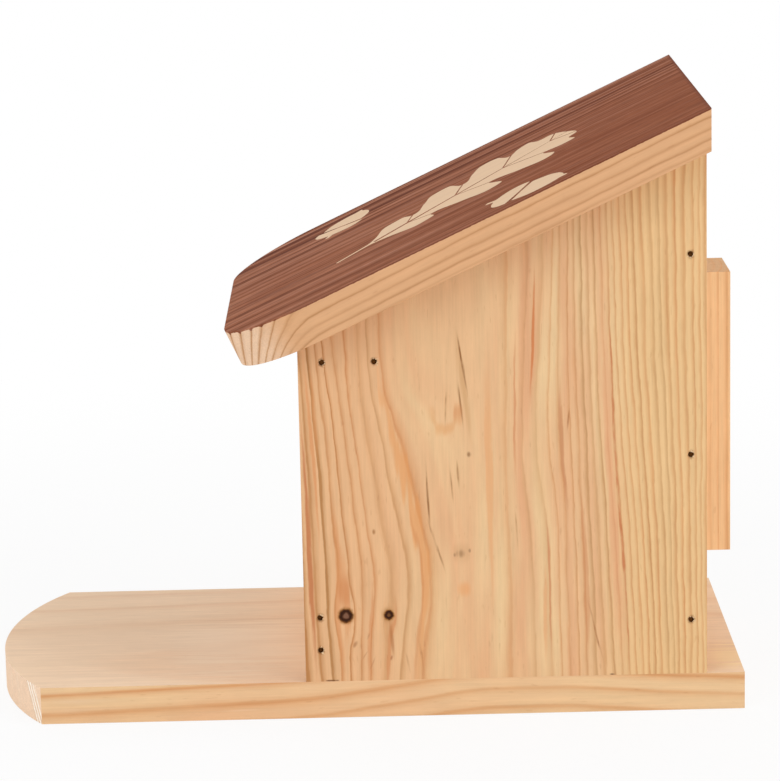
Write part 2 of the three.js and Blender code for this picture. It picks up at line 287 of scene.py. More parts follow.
# bends of the trunk: beside a place, lines step sideways with the height
def grainRuns(add, across, along, runs):
    length, widest = pine["runLength"], pine["widestStep"]
    for middle, reach, points in runs:
        beside = add("Math.SUBTRACT", [across, middle])
        beside = add("Math.ABSOLUTE", [beside])
        beside = add("MapRange.SMOOTHSTEP", [beside, 0.0, reach, 1.0, 0.0])
        step = add("FloatCurve", {"Value": add("Math.DIVIDE", [along, length])})
        setCurve(step, [(height / length, 0.5 + shift / widest) for height, shift in points])
        step = add("Math.MULTIPLY_ADD", [step, widest, -widest / 2])
        step = add("Math.MULTIPLY", [step, beside])
        across = add("Math.SUBTRACT", [across, step])
    return across


# a value that changes across the board: (place, value up to top)
def acrossCurve(add, across, points, top=2.0):
    low, high = points[0][0], points[-1][0]
    place = add("MapRange", [across, low, high])
    curve = add("FloatCurve", {"Value": place})
    setCurve(curve, [((x - low) / (high - low), value / top) for x, value in points])
    return add("Math.MULTIPLY", [curve, top])


# place along the bent grain lines, its part across, and the way from the pith
def trunkSpace(add, board, cut):
    seed = cut["seed"]
    ripples = ((9, cut["rippleLength"], 9), 4.0, cut["ragged"])
    slow = grainNoise(add, board, pine["sway"], (seed, seed * 1.7, seed * 0.6))
    fine = grainNoise(add, board, ripples, (seed * 2.3, seed, seed))
    bent = bendRoundKnots(add, board, cut["knots"])
    for noise, kind in ((slow, "sway"), (fine, "ripple")):
        across, through = cut[kind], cut[kind] * cut["depth" + kind.title()]
        centred = add("VectorMath.SUBTRACT", [noise.outputs["Color"], (0.5, 0.5, 0.5)])
        bent = add("VectorMath.MULTIPLY_ADD", [centred, (across, 0, through), bent])
    parts = add("SeparateXYZ", [bent])
    along = parts.outputs["Y"]
    run = grainRuns(add, parts.outputs["X"], along, cut["runs"])
    grain = add("CombineXYZ", [run, along, parts.outputs["Z"]])

    pith, lean = cut["pith"], cut["lean"]
    across = add("Math.MULTIPLY_ADD", [along, -lean[0], -pith[0]])
    across = add("Math.ADD", [across, run])
    slowFrom, slowShare = cut["slowSide"]
    slowed = add("Math.SUBTRACT", [across, slowFrom])
    slowed = add("Math.MAXIMUM", [slowed, 0.0])
    across = add("Math.MULTIPLY_ADD", [slowed, slowShare, across])
    through = add("Math.MULTIPLY_ADD", [along, -lean[1], -pith[1]])
    through = add("Math.ADD", [through, parts.outputs["Z"]])
    if "bow" in cut:  # the trunk was a little bent: (place along, how deep its rings dip there)
        reach, deepest = pine["bowReach"], pine["deepestBow"]
        bow = add("MapRange", [along, -reach, reach])
        bow = add("FloatCurve", {"Value": bow})
        setCurve(bow, [((place + reach) / (2 * reach), dip / deepest) for place, dip in cut["bow"]])
        through = add("Math.MULTIPLY_ADD", [bow, deepest, through])
    section = add("CombineXYZ", [across, 0.0, through])
    return grain, run, add("VectorMath.LENGTH", [section])


def yearRings(add, radius, run, cut):  # how much late wood a point holds, and its ring's number
    # good and bad years, and narrower rings towards the bark
    weather = add("TexNoise.1D", [radius, pine["weatherPerMm"], 1.0, 0.5])
    grown = add("Math.MULTIPLY_ADD", [weather, cut["weather"], radius])
    phase = cut.get("phase", cut["seed"] * 3.1)
    years = add("Math.MULTIPLY_ADD", [grown, 1 / cut["spacing"], phase])
    outer, rate = cut["tighten"]
    late = add("Math.SUBTRACT", [radius, outer])
    late = add("Math.MAXIMUM", [late, 0.0])
    late = add("Math.POWER", [late, 2.0])
    years = add("Math.MULTIPLY_ADD", [late, rate, years])

    year = add("Math.FLOOR", [years])
    season = add("Math.FRACT", [years])
    breadth = add("TexWhiteNoise.1D", [add("Math.ADD", [year, 7.7])])
    breadth = add("MapRange", [breadth, 0.0, 1.0, 0.75, 1.8])
    if "thinness" in cut:
        breadth = add("Math.MULTIPLY", [breadth, acrossCurve(add, run, cut["thinness"])])
    season = add("Math.POWER", [season, breadth])  # broad and narrow lines of late wood
    line = add("ValToRGB", [season])
    setStops(line, cut["line"])
    return line, year


def lineShade(add, wood, cut):  # each year's line has its own strength, and fades in and out along the board
    yearly = add("TexWhiteNoise.1D", [wood["year"]])
    stretched = add("VectorMath.MULTIPLY", [wood["board"], [1 / length for length in pine["fading"]]])
    fading = add("TexNoise.4D", [stretched, wood["year"], 1.0, 1.0])
    strength = add("Math.MULTIPLY_ADD", [yearly, 0.55, fading])
    strength = add("MapRange", [strength, 0.35, 1.15, cut["faint"], 1.0])
    strength = add("Math.MULTIPLY_ADD", [wood["endGrain"], cut["endLines"], strength], use_clamp=True)
    if "contrast" in cut:  # and the lines are stronger on some parts of the board
        strength = add("Math.MULTIPLY", [strength, acrossCurve(add, wood["run"], cut["contrast"])])
    return add("Math.MULTIPLY", [wood["line"], strength], use_clamp=True)


# broad drifts of cream and pinkish early wood, with the lines of late wood in it
def ringColor(add, wood, cut):
    drift = ((cut["driftWidth"], 120, 38), 2.0, 0.5)
    drift = grainNoise(add, wood["grain"], drift, (cut["seed"] * 4, 0, cut["seed"]))
    drift = add("MapRange", [drift, 0.32, 0.68])
    early = add("Mix.RGBA", [drift, *map(linear, cut["early"])])
    for low, high, tone in cut["sideTones"]:  # towards one side the board runs into other wood
        sides = add("SeparateXYZ", [wood["board"]])
        warm = add("MapRange.SMOOTHSTEP", [sides.outputs["X"], low, high])
        early = add("Mix.RGBA", [warm, early, linear(tone)])
    hue = add("TexWhiteNoise.1D", [add("Math.ADD", [wood["year"], 41.3])])
    late = add("Mix.RGBA", [hue, *map(linear, cut["late"])])
    if "paintedFaceLight" in cut:  # painted light: the wide faces are painted paler and their lines fainter, for the light and sheen the top catches
        tone, share = cut["paintedFaceLight"]
        litShare = add("MapRange.SMOOTHSTEP", [wood["wideFace"], 0.4, 0.9, 0.0, share])
        early = add("Mix.RGBA", [litShare, early, linear(tone)])
        fade = add("Math.MULTIPLY_ADD", [litShare, -0.85, 1.0])
        wood["shade"] = add("Math.MULTIPLY", [wood["shade"], fade])
    endTone, endShare = cut["endTone"]
    sawn = add("Math.MULTIPLY", [wood["endGrain"], endShare])
    early = add("Mix.RGBA", [sawn, early, linear(endTone)])
    color = add("Mix.RGBA", [wood["shade"], early, late])
    edge = add("MapRange.SMOOTHSTEP", [wood["shade"], 0.55, 1.0, 0.0, cut["edgeShare"]])
    return add("Mix.RGBA", [edge, color, linear(cut["lateEdge"])])


def addFibres(add, wood, cut):  # fibres and soft mottles lighten and darken the planed face a little
    tone = 1.0
    for key, amount in pine["tones"].items():
        half = amount * cut["fibres"] / 2
        spread = add("MapRange", [wood[key], 0.3, 0.7, -half, half])
        tone = add("Math.ADD", [spread, tone])
    color = add("VectorMath.SCALE", [wood["color"], tone])
    # fine resin ducts, short dark dashes along the grain
    ducts = grainNoise(add, wood["board"], pine["ducts"], (0, cut["seed"], 0))
    ducts = add("MapRange", [ducts, 0.76, 0.84, 0.0, 0.14])
    wood["color"] = add("Mix.RGBA", [ducts, color, linear(pine["duct"])], blend_type="MULTIPLY")


def tornChips(add, wood, color, chipFrom, chipTo, pitch):  # fibres that the saw tore white beside a corner
    slanted = add("VectorMath.DOT_PRODUCT", [wood["board"], (1.0, 0, 0.5)])
    slanted = add("Math.MULTIPLY_ADD", [wood["broad"], 1.6, slanted])
    inside = add("MapRange.SMOOTHSTEP", [slanted, chipFrom, chipFrom + 1])
    before = add("MapRange.SMOOTHSTEP", [slanted, chipTo, chipTo - 1])
    inside = add("Math.MULTIPLY", [inside, before])
    saw = add("Math.MULTIPLY", [slanted, 1 / pitch])
    saw = add("Math.FRACT", [saw])
    for tone, stops in pine["chipTones"]:
        share = add("ValToRGB", [saw])
        setStops(share, stops)
        share = add("Math.MULTIPLY", [inside, share])
        color = add("Mix.RGBA", [share, color, linear(tone)])
    return color


def addSawnEnds(add, wood, cut):  # sawn ends show pores and pale marks of the saw
    pores = add("TexNoise", [wood["board"], pine["poresPerMm"], 2.0, 0.7])
    pores = add("MapRange", [pores, 0.35, 0.70, 0.90, 1.04])
    marks = add("VectorMath.DOT_PRODUCT", [wood["board"], (0.95, 0, 0.32)])
    marks = add("TexNoise.1D", [marks, pine["sawMarksPerMm"], 1.0])
    marks = add("MapRange", [marks, 0.62, 0.72, 0.0, cut["sawMarks"]])
    color = add("Mix.RGBA", [marks, wood["color"], linear(pine["sawMark"])])
    if "chips" in cut:
        color = tornChips(add, wood, color, *cut["chips"])
    color = add("VectorMath.SCALE", [color, pores])
    wood["color"] = add("Mix.RGBA", [wood["endGrain"], wood["color"], color])


def bareWood(add, cut):  # planed pine: its patterns, colour, relief and roughness
    board, endGrain, wideFace = boardSpace(add, cut)
    grain, run, radius = trunkSpace(add, board, cut)
    line, year = yearRings(add, radius, run, cut)
    wood = {
        "board": board, "endGrain": endGrain, "wideFace": wideFace, "grain": grain, "run": run,
        "line": line, "year": year,
    }
    seed = cut["seed"]
    for key, shift in (("close", (seed, 0, seed)), ("broad", (0, seed, 0)), ("mottle", (0, seed, seed))):
        wood[key] = grainNoise(add, board, pine[key], shift)
    wood["shade"] = lineShade(add, wood, cut)
    wood["color"] = ringColor(add, wood, cut)
    addFibres(add, wood, cut)
    addSawnEnds(add, wood, cut)
    wood["height"] = add("Math.MULTIPLY_ADD", [wood["shade"], 0.06, wood["close"]])
    rough = add("MapRange", [wood["height"], 0.3, 1.2, 0.66, 0.50])
    wood["rough"] = add("Math.MULTIPLY_ADD", [endGrain, 0.22, rough])
    return wood


def addKnots(add, wood, knots):  # small dead knots: black bark ring round a brown core
    color = wood["color"]
    for across, along, radius, core in knots:
        away = fromSpot(add, wood["board"], across, along, (1, 0.95))[1]
        ragged = add("TexNoise", [wood["board"], pine["barkPerMm"], 2.0])
        away = add("Math.MULTIPLY_ADD", [ragged, 1.1, away])
        ratio = add("Math.DIVIDE", [away, radius * 1.55])
        ring = add("ValToRGB", [ratio])
        setStops(ring, [(0, core), (0.30, core), *pine["bark"]])
        cover = add("MapRange.SMOOTHSTEP", [ratio, 0.74, 1.1, 1.0, 0.0])
        color = add("Mix.RGBA", [cover, color, ring])
    wood["color"] = color


# soft long spots of a colour, on the board or along its grain lines; some of them are painted light and
# painted shade
def addStreaks(add, wood, streaks, space, core):
    color = wood["color"]
    wavy = add("Math.SUBTRACT", [wood["broad"], 0.5])
    for across, along, length, width, leanAcross, hexColor, amount in streaks:
        spot = add("VectorMath.SUBTRACT", [wood[space], (across, along, 0)])
        parts = add("SeparateXYZ", [spot])
        sideways = add("Math.MULTIPLY_ADD", [parts.outputs["Y"], -leanAcross, parts.outputs["X"]])
        sideways = add("Math.MULTIPLY_ADD", [wavy, width * 1.1, sideways])
        shape = add("CombineXYZ", [sideways, parts.outputs["Y"]])
        shape = add("VectorMath.MULTIPLY", [shape, (2 / width, 2 / length, 0)])
        away = add("VectorMath.LENGTH", [shape])
        cover = add("MapRange.SMOOTHERSTEP", [away, core, 1.0, amount, 0.0])
        if width < 2:  # a drying check breaks up between the fibres
            broken = add("MapRange", [wood["mottle"], 0.4, 0.6, 0.25])
            cover = add("Math.MULTIPLY", [cover, broken])
        color = add("Mix.RGBA", [cover, color, linear(hexColor)])
    wood["color"] = color


def addBruises(add, wood, nailSpots):  # wood crushed and browned by the nail punch, ragged along the grain
    color = wood["color"]
    ragged = add("TexNoise", [wood["board"], pine["bruisePerMm"], 2.0])
    for across, along in nailSpots:
        away = fromSpot(add, wood["board"], across, along, (1, 0.8))[1]
        away = add("Math.MULTIPLY_ADD", [ragged, 1.8, away])
        cover = add("MapRange.SMOOTHSTEP", [away, *pine["bruise"], 0.6, 0.0])
        color = add("Mix.RGBA", [cover, color, linear(pine["bruised"])])
    wood["color"] = color


def finishWood(add, wood, sheen):  # matt planed wood, with a faint sheen along the late wood
    relief = add("Bump", {"Strength": 0.3, "Distance": pine["relief"] * mm, "Height": wood["height"]})
    surface = add("BsdfPrincipled", {
        "Base Color": wood["color"], "Roughness": wood["rough"], "IOR": 1.5, "Specular IOR Level": sheen,
        "Normal": relief,
    })
    add("OutputMaterial", [surface])


# planed pine: cream early wood, orange to tan late-wood lines, darker ends
def planedPine(name, cut, nailSpots):
    material, add = newMaterial(name)
    wood = bareWood(add, cut)
    addStreaks(add, wood, cut["resinStreaks"], "grain", 0.3)
    addStreaks(add, wood, cut["flecksAndPaintedLight"], "board", 0.1)
    addKnots(add, wood, cut["knots"])
    addBruises(add, wood, nailSpots)
    finishWood(add, wood, 0.12)
    return material


# One cut per board, in millimetres
boardCuts = {
    "side_panel_right": {
        "axes": "YZX", "seed": 3.7, "pith": (50, 38), "spacing": 4.8, "phase": 0.35, "slowSide": (36, 0.5),
        "tighten": (108, 0.0006),
        "thinness": [(-29, 0.75), (20, 0.85), (50, 1.1), (90, 0.9), (124, 0.6), (162, 0.55)],
        "sway": 5, "depthSway": 0.15, "ripple": 3.0, "rippleLength": 38, "ragged": 0.68, "depthRipple": 0.35,
        "weather": 3,
        # bends: middle across, reach, (height, step sideways)
        "runs": [
            (20, 44, [
                (0, -7), (37, -3), (67, 0), (96, -4.5), (125, -10.5), (144, -16.5), (163, -24.5), (200, -29),
                (300, -29),
            ]),
            (-14, 30, [(0, 5), (48, 1), (92, 0), (131, -2), (170, -6), (200, -10), (300, -12)]),
            (82, 20, [(0, 2), (50, 1), (89, 0), (141, -4.5), (180, -2.5), (230, -0.5), (300, 0)]),
            (124, 44, [(0, 3), (71, 0), (126, -4), (178, -7), (238, -8.5), (300, -9)]),
        ],
        "early": ("#E5C395", "#DFAB81"), "late": ("#CB8650", "#B78958"), "lateEdge": "#A9693A",
        "edgeShare": 0.3, "faint": 0.5,
        "driftWidth": 10, "fibres": 0.75, "sideTones": [(104, 134, "#E5BF8C"), (40, -5, "#E1B387")],
        "contrast": [
            (-29, 1.5), (-16, 1.15), (-5, 0.92), (10, 0.8), (22, 0.88), (45, 0.5), (80, 0.52), (108, 0.75),
            (135, 0.82), (162, 0.72)
        ],
        "knots": [(-9.3, 50.2, 3.1, "#7C5642"), (11.1, 50.2, 2.2, "#6C4524")],  # across, along, radius, core
        # across, along, length, width, lean, colour, strength; the streaks follow the grain lines
        "resinStreaks": [
            (29.3, 90, 215, 7, 0, "#DE9A60", 0.66), (28, 60, 120, 2.6, 0, "#C98450", 0.4),
            (59.5, 110, 150, 4, 0, "#DFA06C", 0.55), (83, 185, 80, 2.6, 0, "#C9743F", 0.75),
            (84, 50, 60, 3, 0, "#DD9A68", 0.45), (119, 120, 240, 8, 0, "#DC9570", 0.42),
            (73.6, 150, 90, 2.4, 0, "#CC8558", 0.6), (86.7, 64, 90, 2.2, 0, "#C67A50", 0.6),
            (96.5, 130, 80, 2.1, 0, "#BC784C", 0.6), (122.5, 110, 250, 1.9, 0, "#C06C42", 0.75),
            (104, 70, 120, 3, 0, "#C9875A", 0.5), (-26, 85, 165, 3.4, 0, "#B9693A", 0.75),
            (-12, 60, 110, 7, 0, "#D9935F", 0.5), (-18, 150, 60, 5, 0, "#D89460", 0.5),
            (-21, 130, 120, 2.8, 0, "#D48A54", 0.6), (4, 40, 70, 3, 0, "#CE8450", 0.5),
            (15, 35, 60, 2.6, 0, "#CA7E4A", 0.5),
        ],
        "flecksAndPaintedLight": [
            (48, 160, 74, 5, -0.12, "#C29260", 0.5), (47.5, 172, 40, 1.9, -0.16, "#865527", 0.9),
            (46.5, 152, 30, 1.6, -0.1, "#8A5B2E", 0.75), (30.5, 108, 44, 1.9, -0.05, "#875628", 0.85),
            (34, 84, 34, 1.8, -0.3, "#8E6134", 0.75), (40, 150, 28, 1.5, 0.05, "#9A6C3E", 0.7),
            (42, 112, 24, 1.6, -0.1, "#94683C", 0.7), (45, 118, 20, 1.4, -0.05, "#9A6C3E", 0.7),
            (26, 30, 26, 1.8, -0.15, "#935A2E", 0.75), (97, 143, 15, 1.8, 0.1, "#A4683A", 0.75),
            (109, 40, 40, 1.7, -0.25, "#9C6032", 0.8), (72, 90, 26, 1.4, -0.06, "#A87444", 0.6),
            (33.5, 147, 13, 6, -0.15, "#DCA26C", 0.35), (36.2, 142, 12, 8, -0.8, "#DCA068", 0.32),
            (39.8, 139.5, 9, 13, 0, "#DC9E68", 0.34), (43, 141.5, 12, 8, 0.8, "#D99A64", 0.36),
            (45, 147.5, 14, 6, 0.1, "#D08C58", 0.6), (50, 127.5, 4, 3.6, 0, "#87603A", 0.75),
            (46.0, 79.5, 6, 4.6, 0, "#80603E", 0.75), (49.8, 80.8, 3, 2.8, 0, "#7C5C3C", 0.65),
            (43.2, 78.9, 3, 2.4, 0, "#7C5C3C", 0.65), (46.5, 80, 14, 12, 0, "#C99C72", 0.4),
            (4.8, 91, 4, 2.4, 0, "#A06A3A", 0.75), (47.5, 62, 11, 8, 0, "#E3A069", 0.6),
            (-11, 62, 24, 8, 0, "#C9804C", 0.55), (-9.3, 50.2, 11, 9, 0, "#AC6C3A", 0.6),
            (11.1, 50.2, 11, 7, 0, "#A37238", 0.6), (12.5, 38, 26, 3, -0.1, "#A96C3C", 0.6),
            # the two dark marks at 18.4 along are painted shade in the seam where the panel meets the base
            (-17, 18.4, 1.5, 9, 0, "#6E4428", 0.85), (117, 18.4, 1.3, 4, 0, "#6E4428", 0.8),
            (-5, 36, 5, 3, 0.4, "#A0683C", 0.6), (12, 29, 4, 2, 0.2, "#A05E34", 0.65),
            (1, 40, 5, 1.4, 0.3, "#946A42", 0.6), (3, 27, 9, 1.6, 0.5, "#9C5C34", 0.7),
            (-1, 30, 7, 1.4, 0.6, "#A4663C", 0.6), (20, 26, 14, 1.6, -0.2, "#9A6236", 0.6),
        ],
    },
    "side_panel_left": {
        "axes": "YZX", "seed": 9.1, "pith": (88, -48), "lean": (0.06, 0.03), "spacing": 5.6,
        "tighten": (80, 0.001),
        "early": ("#E9C49A", "#E5BB8F"), "late": ("#CB8B58", "#BD8E5E"),
    },
    "back_panel": {
        "axes": "XZY", "seed": 5.3, "pith": (-30, 108), "lean": (0.05, -0.04), "spacing": 5.0,
        "tighten": (70, 0.0015),
        "early": ("#EAC69C", "#E4BB90"), "late": ("#CD8E5C", "#BC8B5C"),
    },
    "base_board": {
        "axes": "XYZ", "seed": 2.2, "pith": (50, -240), "lean": (0.02, 0.0), "spacing": 9.0, "phase": 0.6,
        "bow": [
            (-200, 17.2), (-156, 16.2), (-92, 14.1), (-27, 11.3), (1, 7.8), (23, 4.6), (35, 2.6), (46, 1.1),
            (62, 0), (92, 0), (115, 1.4), (137, 3.3), (179, 5.7), (200, 6.8)
        ],
        "sway": 1.6, "ripple": 0.9, "weather": 0, "fibres": 0.75,
        "early": ("#E7C498", "#E5B98F"), "late": ("#D3935D", "#CE9663"), "lateEdge": "#BA7840",
        "edgeShare": 0.22, "faint": 0.42,
        "line": [(0, 0.30), (0.14, 0.06), (0.46, 0.05), (0.70, 0.45), (0.84, 1.0), (0.94, 0.8), (1.0, 0.30)],
        "endTone": ("#F3D5BA", 0.85), "endLines": -0.75, "sawMarks": 0.4,
        # the wide faces are painted paler: painted light on the top face
        "driftWidth": 24, "paintedFaceLight": ("#F3D6B8", 0.85),
        "chips": (79.2, 87.5, 2.6),  # from, to, pitch of the saw
        # painted light and shade: large paler patches where the box shades the top and on the strip behind
        # it, a darker one towards the nose
        "flecksAndPaintedLight": [
            (20, -60, 120, 120, 0, "#FBE2C6", 0.55), (10, -138, 110, 170, 0, "#E6C6A6", 0.45),
            (56, 176, 34, 52, 0, "#FBE0AE", 0.55)
        ],
    },
    "front_lip": {"axes": "ZXY", "seed": 6.6, "pith": (95, 20), "spacing": 4.4},
    "top_rail": {"axes": "YXZ", "seed": 8.4, "pith": (20, 120), "spacing": 4.2},
    "mounting_batten": {
        "axes": "XZY", "seed": 4.9, "pith": (-6, 92), "spacing": 3.4, "sway": 4, "ripple": 0.7,
        # pale pine, painted paler still: painted light for the shade its faces fall in behind the box
        "early": ("#F7CF9F", "#F4C897"), "late": ("#E8AC7A", "#E3B280"), "lateEdge": "#D29A6C",
        "edgeShare": 0.2, "endTone": ("#DBB995", 0.75), "endLines": -0.2,
    },
}


def nailHoles(sideName):  # Y, Z and radius, in metres, of each nail hole of one side
    boxes = [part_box(name) for name in sorted(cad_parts) if "_nail_" in name and name.endswith(sideName)]
    return [((low[1] + high[1]) / 2, (low[2] + high[2]) / 2, (high[2] - low[2]) / 2) for low, high in boxes]


for nodeName, cut in boardCuts.items():
    nailSpots = [(y / mm, z / mm) for y, z, radius in nailHoles(nodeName.split("side_panel_")[-1])]
    material = planedPine("planed pine, " + nodeName.replace("_", " "), commonCut | cut, nailSpots)
    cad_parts[nodeName].data.materials[0] = material
print("pine boards ready")


# Lid: planed pine with a thin chestnut wood stain brushed on the top face only. A leaf and two
# acorns were masked while it was stained, so that they stay bare and pale. Lengths in millimetres.
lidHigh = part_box("lid_board")[1]
lidSlope = math.radians(25)
lidTurn = Euler((-lidSlope, 0, 0)).to_matrix()
lidCorner = lidTurn @ Vector((0, lidHigh[1] / mm, lidHigh[2] / mm))

lidCut = {
    "axes": "XYZ", "slope": lidSlope, "shift": (0, -lidCorner.y, -lidCorner.z), "seed": 7.5, "pith": (12, 36),
    "lean": (0.0, 0.004), "spacing": 8.5, "tighten": (84, 0.009), "phase": 0.97,
    "sway": 3, "ripple": 0.9, "weather": 0, "fibres": 0.65,
    "early": ("#DBAB80", "#D6A47B"), "late": ("#BE8B5E", "#BA875C"), "lateEdge": "#A8744A",
    "faint": 0.34, "edgeShare": 0.15, "endTone": ("#F0D0B2", 0.85), "endLines": 0.4,
    "line": [(0, 0.24), (0.12, 0.04), (0.56, 0.04), (0.73, 0.5), (0.85, 1.0), (0.94, 0.62), (1.0, 0.24)],
}
lidStain = {
    "colors": ("#A3674A", "#965A3E"), "streaks": ("#602F1F", "#BC876F"), "edge": "#703D2D", "rear": "#7B3A18",
    "motif": "#E9CBAB",
    # noises: lengths across, along and through the board, detail, roughness
    "brush": ((9, 190, 20), 5.0, 0.68), "bristles": ((2.6, 150, 20), 3.0, 0.6),
    "bands": ((7, 420, 40), 1.0, 0.5),
    "cloud": ((26, 60, 26), 2.0, 0.5), "specks": ((2.2, 9, 2.2), 3.0, 0.65), "raggedPerMm": 0.55,
    "openSide": (-10, -70), "rearRun": (-215, -30),  # across and along the board, from little to full
    "halfWidth": lidHigh[0] / mm, "rim": (0.4, 2.0),  # darker beside the cut edges, fading over this way
    "bleed": (0.35, 1.3), "bleedEdge": 0.18,  # down the sides: along the edges, and into the end grain
}
# motif elements: middle across, start along from the rear edge, turn, length; the rest in shares of it
lidMotif = {
    "leaf": {"place": (34, -190), "turn": 24, "length": 138, "outline": [
        (0, 0.010), (0.13, 0.012), (0.17, 0.05), (0.24, 0.15), (0.30, 0.145), (0.345, 0.085), (0.40, 0.17),
        (0.46, 0.25), (0.52, 0.235), (0.565, 0.12), (0.62, 0.21), (0.68, 0.275), (0.735, 0.25), (0.775, 0.15),
        (0.82, 0.19), (0.86, 0.20), (0.90, 0.13), (0.95, 0.11), (0.985, 0.05), (1, 0),
    ]},
    "lobeSlant": 0.32,
    "rib": (0.14, 0.95, 0.011, 0.002),  # from, to, half its breadth there and there
    "veins": {"start": 0.16, "reach": 0.17, "slant": 0.75, "count": 4.8, "phase": 0.06, "breadth": 0.02},
    "acorns": [
        {"place": (72, -112), "turn": -28, "length": 46},
        {"place": (-52, -196), "turn": 62, "length": 42},
    ],
    "acornOutline": [
        (0, 0.03), (0.10, 0.035), (0.13, 0.14), (0.20, 0.27), (0.30, 0.33), (0.385, 0.335), (0.40, 0.0),
        (0.43, 0.0), (0.445, 0.285), (0.60, 0.295), (0.76, 0.24), (0.88, 0.13), (0.94, 0.045), (0.97, 0.03),
        (1, 0),
    ],
    "maskEdge": 0.004,
}


def motifSpace(add, board, element, slant):  # place along and beside a motif element, in shares of its length
    turned = add("VectorMath.SUBTRACT", [board, (*element["place"], 0)])
    turned = add("Mapping", {
        "Vector": turned, "Rotation": (0, 0, -math.radians(element["turn"])),
        "Scale": [1 / element["length"]] * 3,
    })
    parts = add("SeparateXYZ", [turned])
    beside = add("Math.ABSOLUTE", [parts.outputs["X"]])
    onward = add("Math.MULTIPLY_ADD", [beside, -slant, parts.outputs["Y"]])
    return parts.outputs["Y"], beside, onward


def motifShape(add, beside, onward, outline):  # 1 inside a symmetrical outline, with a clean masked edge
    width = add("FloatCurve", {"Value": onward})
    setCurve(width, outline)
    inside = add("Math.SUBTRACT", [width, beside])
    inside = add("MapRange", [inside, 0.0, lidMotif["maskEdge"]])
    for place, side in ((0.0, "GREATER_THAN"), (1.0, "LESS_THAN")):
        within = add("Math", [onward, place], operation=side)
        inside = add("Math.MULTIPLY", [inside, within])
    return inside


# veins keep their stain: a midrib, and side veins that run out to the lobes
def leafVeins(add, along, beside):
    veins = lidMotif["veins"]
    thick = add("MapRange", [along, *lidMotif["rib"]])
    rib = add("Math.LESS_THAN", [beside, thick])
    side = add("Math.MULTIPLY_ADD", [beside, -veins["slant"], along])
    side = add("Math.MULTIPLY_ADD", [side, veins["count"], veins["phase"]])
    side = add("Math.FRACT", [side])
    side = add("Math.SUBTRACT", [side, 0.5])
    side = add("Math.ABSOLUTE", [side])
    side = add("Math.LESS_THAN", [side, veins["breadth"]])
    short = add("Math.LESS_THAN", [beside, veins["reach"]])
    side = add("Math.MULTIPLY", [side, short])
    started = add("Math.GREATER_THAN", [along, veins["start"]])
    both = add("Math.MAXIMUM", [rib, side])
    return add("Math.MULTIPLY", [both, started])


def motifMask(add, board):  # 1 where the leaf and the acorns are left bare
    along, beside, onward = motifSpace(add, board, lidMotif["leaf"], lidMotif["lobeSlant"])
    leaf = motifShape(add, beside, onward, lidMotif["leaf"]["outline"])
    mask = add("Math.SUBTRACT", [leaf, leafVeins(add, along, beside)], use_clamp=True)
    for element in lidMotif["acorns"]:
        along, beside, onward = motifSpace(add, board, element, 0.0)
        acorn = motifShape(add, beside, onward, lidMotif["acornOutline"])
        mask = add("Math.MAXIMUM", [mask, acorn])
    return mask


def brushedStain(add, wood, stain):  # the stain's colour: dark and pale streaks after the brush and the grain
    darkTone, paleTone = map(linear, stain["streaks"])
    parts = add("SeparateXYZ", [wood["board"]])
    across, along = parts.outputs["X"], parts.outputs["Y"]
    cloud = grainNoise(add, wood["board"], stain["cloud"], (9, 0, 0))
    cloud = add("MapRange", [cloud, 0.35, 0.65])
    color = add("Mix.RGBA", [cloud, *map(linear, stain["colors"])])
    # the side of the board away from the pith shows its lines most
    openSide = add("MapRange.SMOOTHSTEP", [across, *stain["openSide"], 0.6, 1.0])
    openMost = add("Math.MULTIPLY", [openSide, openSide])
    brush = grainNoise(add, wood["board"], stain["brush"], (2.0, 0, 0))
    bristles = grainNoise(add, wood["grain"], stain["bristles"], (0, 4, 0))
    bands = grainNoise(add, wood["grain"], stain["bands"], (5, 0, 0))  # harder wood, 8 to 15 mm apart
    layers = [
        # noise, where it shows, from and to in the noise, share, colour
        (brush, openSide, 0.52, 0.66, 0.9, paleTone), (brush, openSide, 0.48, 0.34, 0.9, darkTone),
        (bristles, openSide, 0.44, 0.34, 0.78, darkTone), (bristles, openSide, 0.57, 0.68, 0.78, paleTone),
        (bands, openMost, 0.47, 0.38, 0.9, darkTone), (bands, openMost, 0.54, 0.64, 0.8, paleTone),
    ]
    for noise, where, low, high, share, tone in layers:
        cover = add("MapRange", [noise, low, high, 0.0, share])
        cover = add("Math.MULTIPLY", [cover, where])
        color = add("Mix.RGBA", [cover, color, tone])
    grain = add("Math.MULTIPLY_ADD", [openSide, 0.7, 0.15])
    grain = add("Math.MULTIPLY", [wood["shade"], grain])
    color = add("Mix.RGBA", [grain, color, darkTone])
    # it is darker towards the rear, most on the side near the pith
    rearDarker = add("MapRange.SMOOTHSTEP", [along, *stain["rearRun"], 0.0, 0.54])
    nearPith = add("Math.MULTIPLY_ADD", [openSide, -0.9, 1.4])
    rearDarker = add("Math.MULTIPLY", [rearDarker, nearPith])
    color = add("Mix.RGBA", [rearDarker, color, linear(stain["rear"])])
    # open pores take specks of darker and lighter stain
    specks = grainNoise(add, wood["board"], stain["specks"])
    specks = add("MapRange", [specks, 0.3, 0.7, 0.84, 1.16])
    color = add("VectorMath.SCALE", [color, specks])
    # and it gathers a shade darker along the cut edges
    sideGap = add("Math.ABSOLUTE", [across])
    sideGap = add("Math.SUBTRACT", [stain["halfWidth"], sideGap])
    rearGap = add("Math.MULTIPLY", [along, -1.0])
    edgeGap = add("Math.MINIMUM", [sideGap, rearGap])
    gathered = add("MapRange", [edgeGap, *stain["rim"], 0.7, 0.0])
    return add("Mix.RGBA", [gathered, color, linear(stain["edge"])])


